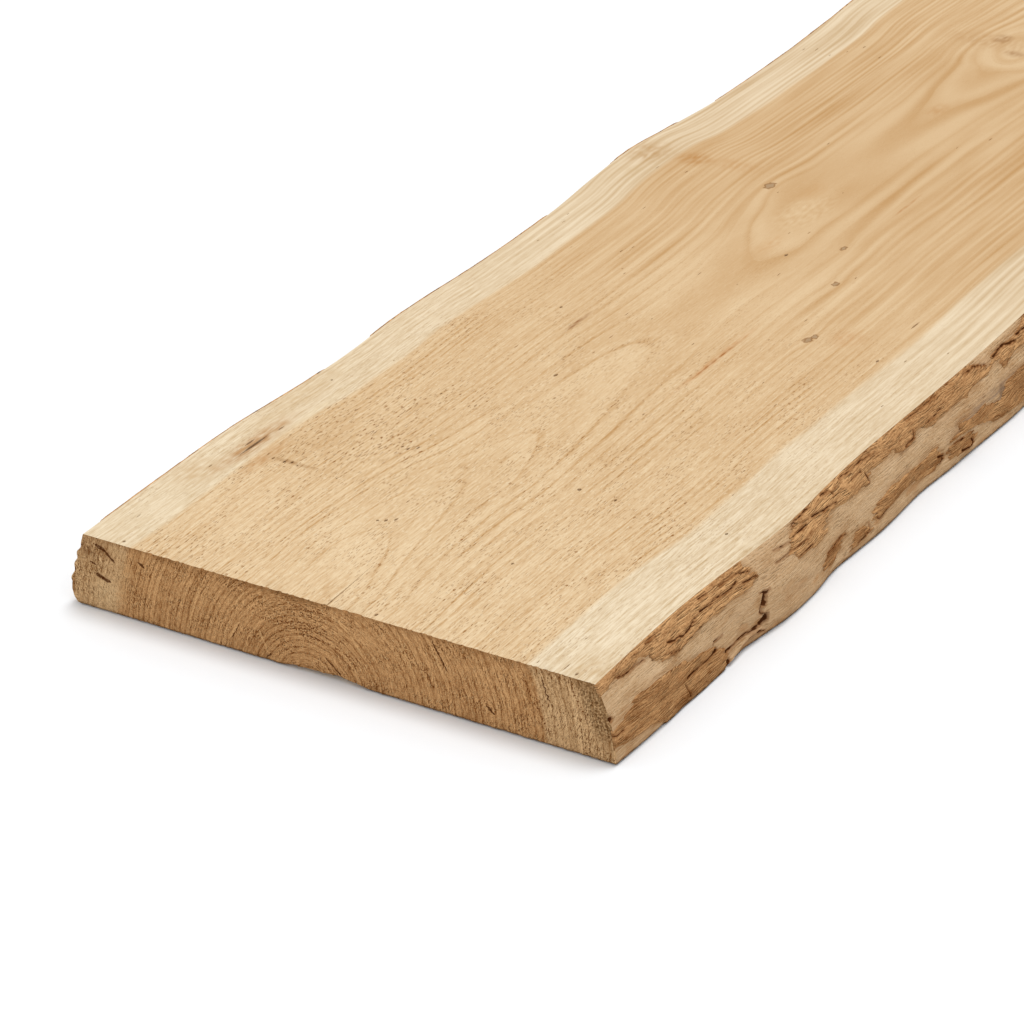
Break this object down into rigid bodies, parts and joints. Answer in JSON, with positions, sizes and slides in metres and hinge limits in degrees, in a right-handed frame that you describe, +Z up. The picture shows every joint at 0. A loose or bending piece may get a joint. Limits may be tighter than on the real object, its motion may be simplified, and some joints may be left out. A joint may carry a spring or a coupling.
{
  "type": "natural edge wood slab",
  "caption": "Sawn hardwood board with flat faces, square-cut ends and natural live edges that still carry strips of inner bark; lies flat as a shelf, bench or table top.",
  "frame": {"origin": "middle of the slab's box on the flat underside, the surface that it rests on", "axes": "+X across the slab, +Y along the grain away from the end that the picture shows, +Z up out of the top face"},
  "size_m": [0.238, 1, 0.03],
  "materials": {
    "wood": "sawn and unfinished: pale straw sapwood, tan heartwood, brown end grain and inner bark"
  },
  "bodies": {
    "root": {"slab": "wood"}
  },
  "joints": []
}
